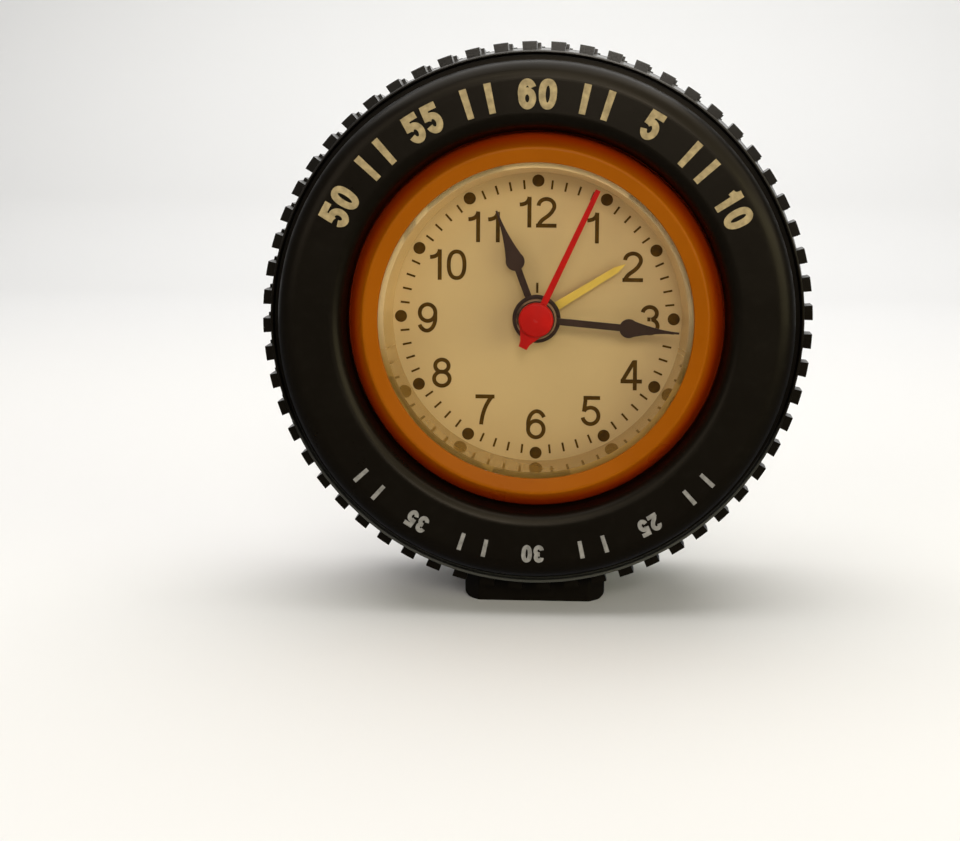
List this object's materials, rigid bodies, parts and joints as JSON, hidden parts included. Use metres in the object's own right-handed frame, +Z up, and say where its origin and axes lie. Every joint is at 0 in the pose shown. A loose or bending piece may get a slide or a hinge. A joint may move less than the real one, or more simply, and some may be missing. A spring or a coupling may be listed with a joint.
{
  "type": "table clock",
  "caption": "Tyre-shaped table alarm clock: black lugged tyre case on a flat foot, orange rim ring, round dial with numbers and hands, and a battery quartz movement behind a recessed back.",
  "frame": {"origin": "centre of the resting face under the foot", "axes": "+Z up the dial, dial faces -Y, +X to the right of the dial"},
  "size_m": [0.097, 0.044, 0.099],
  "materials": {
    "tyre_black": "satin",
    "rim_orange": "gloss",
    "lens_clear": "polished",
    "inner_cream": "gloss",
    "dial_cream": "matte",
    "hand_black": "satin",
    "hand_red": "satin",
    "hand_yellow": "satin",
    "movement_grey": "moulded",
    "wheel_white": "moulded",
    "wheel_yellow": "moulded",
    "magnet_grey": "ground",
    "yoke_steel": "stamped",
    "bobbin_blue": "moulded",
    "winding_copper": "lacquered wire",
    "board_green": "lacquered",
    "can_metal": "plain",
    "resin_black": "resin",
    "spring_brass": "rolled",
    "cell_wrap": "printed wrap without words",
    "contact_nickel": "nickel plated",
    "back_black": "satin",
    "switch_cream": "satin",
    "screw_steel": "zinc plated"
  },
  "bodies": {
    "case": {"tread_barrel": "tyre_black", "front_sidewall": "tyre_black", "rear_case": "tyre_black", "foot": "tyre_black", "rim_ring": "rim_orange", "lens": "lens_clear", "inner_ring": "inner_cream", "dial": "dial_cream", "front_plate": "movement_grey", "movement_case": "movement_grey", "train_bridge": "movement_grey", "stator": "yoke_steel", "coil_bobbin": "bobbin_blue", "coil_winding": "winding_copper", "circuit_board": "board_green", "crystal_can": "can_metal", "chip": "resin_black", "buzzer": "resin_black", "alarm_spring": "spring_brass", "cell": "cell_wrap", "plus_contact": "contact_nickel", "minus_contact": "contact_nickel", "case_screws": "screw_steel", "ring_screws": "screw_steel", "movement_screws": "screw_steel", "bridge_screws": "screw_steel", "foot_screws": "screw_steel"},
    "minute": {"centre_wheel": "wheel_white", "minute_hand": "hand_black"},
    "seconds": {"seconds_wheel": "wheel_white", "second_hand": "hand_red"},
    "hour": {"hour_wheel": "wheel_white", "hour_hand": "hand_black"},
    "alarm": {"alarm_wheel": "wheel_yellow", "alarm_hand": "hand_yellow"},
    "third": {"third_wheel": "wheel_white"},
    "step": {"step_wheel": "wheel_white"},
    "rotor": {"rotor": "magnet_grey"},
    "time_setting": {"minute_wheel": "wheel_white", "time_knob": "back_black"},
    "alarm_setting": {"alarm_setting_wheel": "wheel_yellow", "alarm_knob": "back_black"},
    "switch": {"alarm_switch": "switch_cream"},
    "door": {"battery_door": "back_black"}
  },
  "joints": [
    {"name": "minute_spin", "type": "hinge", "parent": "case", "child": "minute", "pos_m": [0, 0, 0.0505], "axis": [0, 1, 0], "continuous": true},
    {"name": "seconds_spin", "type": "hinge", "parent": "case", "child": "seconds", "pos_m": [0, 0, 0.0505], "axis": [0, 1, 0], "continuous": true},
    {"name": "hour_spin", "type": "hinge", "parent": "case", "child": "hour", "pos_m": [0, 0, 0.0505], "axis": [0, 1, 0], "continuous": true},
    {"name": "third_spin", "type": "hinge", "parent": "case", "child": "third", "pos_m": [0.00423, 0, 0.05845], "axis": [0, 1, 0], "continuous": true},
    {"name": "step_spin", "type": "hinge", "parent": "case", "child": "step", "pos_m": [-0.00527, 0, 0.05749], "axis": [0, 1, 0], "continuous": true},
    {"name": "rotor_spin", "type": "hinge", "parent": "case", "child": "rotor", "pos_m": [-0.00592, 0, 0.06496], "axis": [0, 1, 0], "continuous": true},
    {"name": "time_knob_spin", "type": "hinge", "parent": "case", "child": "time_setting", "pos_m": [-0.00959, 0, 0.05084], "axis": [0, 1, 0], "continuous": true},
    {"name": "alarm_knob_spin", "type": "hinge", "parent": "case", "child": "alarm_setting", "pos_m": [0.01255, 0, 0.0516], "axis": [0, 1, 0], "continuous": true},
    {"name": "alarm_spin", "type": "hinge", "parent": "case", "child": "alarm", "pos_m": [0, 0, 0.0505], "axis": [0, 1, 0], "continuous": true},
    {"name": "switch_slide", "type": "slide", "parent": "case", "child": "switch", "axis": [0, 0, 1], "range_m": [0, 0.004]},
    {"name": "door_lift", "type": "slide", "parent": "case", "child": "door", "axis": [0, 1, 0], "range_m": [0, 0.03]}
  ],
  "couplings": [
    {"joint": "seconds_spin", "follows": "minute_spin", "ratio": 60},
    {"joint": "hour_spin", "follows": "minute_spin", "ratio": 0.083333},
    {"joint": "third_spin", "follows": "minute_spin", "ratio": -8},
    {"joint": "step_spin", "follows": "minute_spin", "ratio": -360},
    {"joint": "rotor_spin", "follows": "minute_spin", "ratio": 1800},
    {"joint": "time_knob_spin", "follows": "minute_spin", "ratio": -0.33333},
    {"joint": "alarm_spin", "follows": "alarm_knob_spin", "ratio": -0.5}
  ]
}
